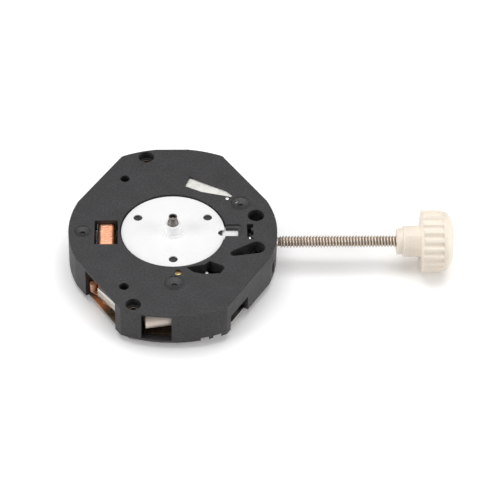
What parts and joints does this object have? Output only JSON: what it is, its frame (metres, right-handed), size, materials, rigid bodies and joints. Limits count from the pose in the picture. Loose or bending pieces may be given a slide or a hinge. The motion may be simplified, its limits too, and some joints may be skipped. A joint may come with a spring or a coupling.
{
  "type": "quartz watch movement",
  "caption": "Small quartz watch movement seen from the dial side, with a black plate, white hour wheel, hand pipes, and a long threaded stem with a knurled cream crown.",
  "frame": {"origin": "where the hand axis crosses the main plate's dial face", "axes": "+Z out of the dial face along the hand axis, +X along the stem towards the crown, +Y towards the battery's end of the movement"},
  "size_m": [0.0283, 0.0179, 0.0049],
  "materials": {
    "black_plastic": "fine matte moulded black plastic",
    "white_plastic": "white moulded plastic",
    "dark_plastic": "dark moulded plastic",
    "copper": "enamelled copper wire",
    "lead_board": "brown flexible board",
    "circuit_brown": "dark brown circuit board",
    "steel": "bright steel",
    "nickel": "nickel-plated metal",
    "brass": "brass",
    "magnet": "dark magnet",
    "jewel": "red jewel",
    "crown_plastic": "cream moulded plastic"
  },
  "bodies": {
    "movement": {"main_plate": "black_plastic", "coil_core": "steel", "coil_winding": "copper", "coil_lead_board": "lead_board", "stator": "steel", "train_bridge": "nickel", "rotor_jewel": "jewel", "circuit_board": "circuit_brown", "chip": "dark_plastic", "quartz_crystal": "nickel", "crystal_leads": "steel", "minus_terminal": "nickel", "battery_can": "steel", "battery_gasket": "dark_plastic", "battery_cap": "steel", "circuit_cover": "steel", "keyless_cover": "steel", "cover_nuts": "brass", "bridge_nuts": "brass", "coil_nuts": "brass", "cover_screws": "steel", "bridge_screws": "steel", "coil_screws": "steel", "keyless_screws": "steel", "setting_wheel_guard": "white_plastic", "contact_pin": "steel"},
    "rotor": {"rotor_pinion": "steel", "rotor_magnet": "magnet"},
    "fifth": {"fifth_wheel": "brass", "fifth_pinion": "steel"},
    "second": {"second_wheel": "brass", "second_arbor": "steel"},
    "third": {"third_wheel": "brass", "third_pinion": "steel"},
    "centre": {"centre_wheel": "brass"},
    "minute_hand_carrier": {"minute_pipe": "steel"},
    "minute_work": {"minute_wheel": "brass"},
    "hour_hand_carrier": {"hour_wheel": "white_plastic"},
    "setting": {"setting_wheel": "white_plastic"},
    "lever": {"setting_lever": "steel"},
    "winding_stem": {"stem": "steel", "crown": "crown_plastic"},
    "clutch": {"clutch_wheel": "steel"},
    "clutch_yoke": {"yoke": "steel"},
    "seconds_stop": {"stop_lever": "steel"}
  },
  "joints": [
    {"name": "rotor_turn", "type": "hinge", "parent": "movement", "child": "rotor", "pos_m": [-0.00293, 0.00035, -0.0018], "axis": [0, 0, 1], "continuous": true},
    {"name": "fifth_turn", "type": "hinge", "parent": "movement", "child": "fifth", "pos_m": [-0.00166, -0.00025, -0.0014], "axis": [0, 0, 1], "continuous": true},
    {"name": "second_turn", "type": "hinge", "parent": "movement", "child": "second", "pos_m": [0, 0, -0.00195], "axis": [0, 0, 1], "continuous": true},
    {"name": "third_turn", "type": "hinge", "parent": "movement", "child": "third", "pos_m": [0.00043, -0.00159, -0.0017], "axis": [0, 0, 1], "continuous": true},
    {"name": "centre_turn", "type": "hinge", "parent": "movement", "child": "centre", "pos_m": [0, 0, -0.0011], "axis": [0, 0, 1], "continuous": true},
    {"name": "hand_set", "type": "hinge", "parent": "centre", "child": "minute_hand_carrier", "pos_m": [0, 0, 0], "axis": [0, 0, 1], "continuous": true},
    {"name": "minute_work_turn", "type": "hinge", "parent": "movement", "child": "minute_work", "pos_m": [0.00189, -0.00017, -0.0005], "axis": [0, 0, 1], "continuous": true},
    {"name": "hour_turn", "type": "hinge", "parent": "movement", "child": "hour_hand_carrier", "pos_m": [0, 0, 0], "axis": [0, 0, 1], "continuous": true},
    {"name": "setting_turn", "type": "hinge", "parent": "movement", "child": "setting", "pos_m": [0.00394, 0, -0.0007], "axis": [0, 0, 1], "continuous": true},
    {"name": "crown_pull", "type": "slide", "parent": "movement", "child": "lever", "axis": [1, 0, 0], "range_m": [0, 0.0006]},
    {"name": "crown_turn", "type": "hinge", "parent": "lever", "child": "winding_stem", "pos_m": [0.0061, 0, -0.00127], "axis": [1, 0, 0], "continuous": true},
    {"name": "clutch_shift", "type": "slide", "parent": "winding_stem", "child": "clutch", "axis": [1, 0, 0], "range_m": [-0.00098, 0]},
    {"name": "yoke_swing", "type": "hinge", "parent": "movement", "child": "clutch_yoke", "pos_m": [0.00545, 0.00275, -0.00127], "axis": [0, 0, 1], "range_deg": [-9.7, 0]},
    {"name": "stop_swing", "type": "hinge", "parent": "movement", "child": "seconds_stop", "pos_m": [0.0033, -0.00255, -0.00195], "axis": [0, 0, 1], "range_deg": [0, 8.1]}
  ],
  "couplings": [
    {"joint": "fifth_turn", "follows": "rotor_turn", "ratio": -0.16667},
    {"joint": "second_turn", "follows": "rotor_turn", "ratio": 0.033333},
    {"joint": "third_turn", "follows": "rotor_turn", "ratio": -0.0044444},
    {"joint": "centre_turn", "follows": "rotor_turn", "ratio": 0.00055556},
    {"joint": "minute_work_turn", "follows": "hand_set", "ratio": -0.33333},
    {"joint": "hour_turn", "follows": "hand_set", "ratio": 0.083333},
    {"joint": "setting_turn", "follows": "hand_set", "ratio": 0.75},
    {"joint": "clutch_shift", "follows": "crown_pull", "ratio": -1.6333},
    {"joint": "yoke_swing", "follows": "crown_pull", "rad_per_m": -282.16},
    {"joint": "stop_swing", "follows": "crown_pull", "rad_per_m": 235.62}
  ]
}
